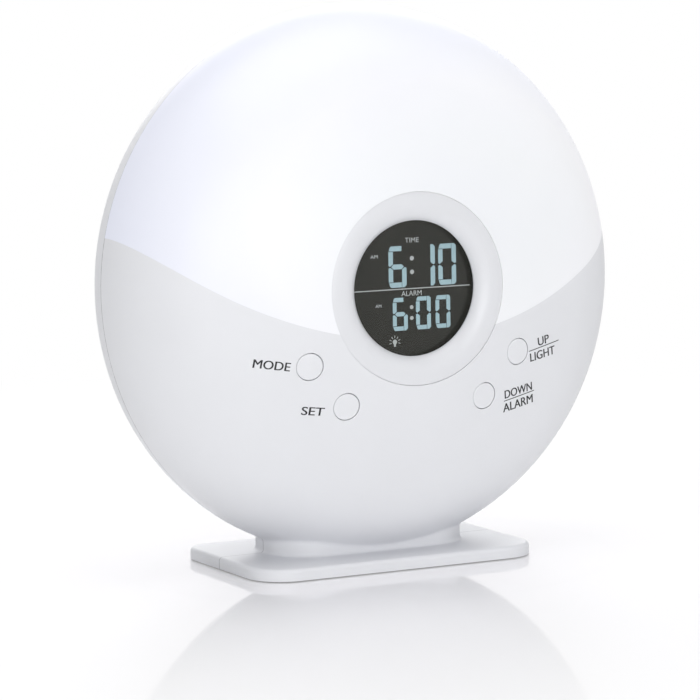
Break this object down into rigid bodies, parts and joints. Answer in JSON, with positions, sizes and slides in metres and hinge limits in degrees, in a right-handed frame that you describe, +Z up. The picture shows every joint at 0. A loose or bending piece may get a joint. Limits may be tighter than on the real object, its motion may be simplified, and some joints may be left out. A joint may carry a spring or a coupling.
{
  "type": "sunrise alarm clock",
  "caption": "Round upright bedside alarm clock with a glowing domed upper front, small round digital display, press buttons and a rectangular base plate.",
  "frame": {"origin": "on the surface the clock stands on, under the middle of its round case, at the joint plane of its two halves", "axes": "+Z up, -Y out of the display side, +X to the right as seen from the front"},
  "size_m": [0.17, 0.085, 0.1715],
  "materials": {
    "rubber": "matte rubber",
    "glow_plastic": "milky, lit from behind",
    "case_plastic": "satin white",
    "ring_plastic": "satin white",
    "window": "dark tinted window",
    "lcd": "dark display glass",
    "clear_plastic": "clear light guide",
    "dark_plastic": "black moulded plastic",
    "strip_rubber": "foam and contact rubber",
    "board": "green circuit board",
    "chip": "moulded chip",
    "tin": "plated sheet and cans",
    "plunger_plastic": "black plunger",
    "lamps": "light-emitting diodes",
    "white_plastic": "white reflector",
    "magnet": "ferrite magnet",
    "paper": "paper cone",
    "cell": "bare steel cell",
    "screw": "zinc-plated steel",
    "lead_plastic": "insulated lead"
  },
  "bodies": {
    "housing": {"backlight_guide": "clear_plastic", "backlight_leds": "lamps", "battery_cells": "cell", "battery_plates": "tin", "battery_springs": "tin", "board_screws": "screw", "case_screws": "screw", "clock_crystal": "tin", "contact_strip": "strip_rubber", "controller_chip": "chip", "dc_jack": "dark_plastic", "dc_jack_pin": "tin", "display_bezel": "ring_plastic", "display_lens": "window", "down_switch": "dark_plastic", "front_cover": "case_plastic", "lamp_board": "board", "lamp_board_screws": "screw", "lamp_lead": "lead_plastic", "lamp_leds": "lamps", "lcd_frame": "dark_plastic", "lcd_panel": "lcd", "light_diffuser": "glow_plastic", "main_board": "board", "mode_switch": "dark_plastic", "power_board": "board", "power_board_screws": "screw", "power_lead": "lead_plastic", "rear_shell": "case_plastic", "reflector": "white_plastic", "reflector_screws": "screw", "rubber_feet": "rubber", "set_switch": "dark_plastic", "speaker_cone": "paper", "speaker_frame": "tin", "speaker_gasket": "strip_rubber", "speaker_lead": "lead_plastic", "speaker_magnet": "magnet", "speaker_screws": "screw", "supply_capacitor": "tin", "up_switch": "dark_plastic"},
    "mode_key": {"mode_button": "case_plastic", "mode_plunger": "plunger_plastic"},
    "set_key": {"set_button": "case_plastic", "set_plunger": "plunger_plastic"},
    "down_key": {"down_button": "case_plastic", "down_plunger": "plunger_plastic"},
    "up_key": {"up_button": "case_plastic", "up_plunger": "plunger_plastic"},
    "door": {"battery_door": "case_plastic"}
  },
  "joints": [
    {"name": "mode_press", "type": "slide", "parent": "housing", "child": "mode_key", "axis": [0, 1, 0], "range_m": [0, 0.0004], "stiffness_N_per_m": 2000, "springref_m": -0.0002},
    {"name": "set_press", "type": "slide", "parent": "housing", "child": "set_key", "axis": [0, 1, 0], "range_m": [0, 0.0004], "stiffness_N_per_m": 2000, "springref_m": -0.0002},
    {"name": "down_press", "type": "slide", "parent": "housing", "child": "down_key", "axis": [0, 1, 0], "range_m": [0, 0.0004], "stiffness_N_per_m": 2000, "springref_m": -0.0002},
    {"name": "up_press", "type": "slide", "parent": "housing", "child": "up_key", "axis": [0, 1, 0], "range_m": [0, 0.0004], "stiffness_N_per_m": 2000, "springref_m": -0.0002},
    {"name": "door_tilt", "type": "hinge", "parent": "housing", "child": "door", "pos_m": [0, 0.0349, 0.0407], "axis": [-1, 0, 0], "range_deg": [0, 60]}
  ]
}
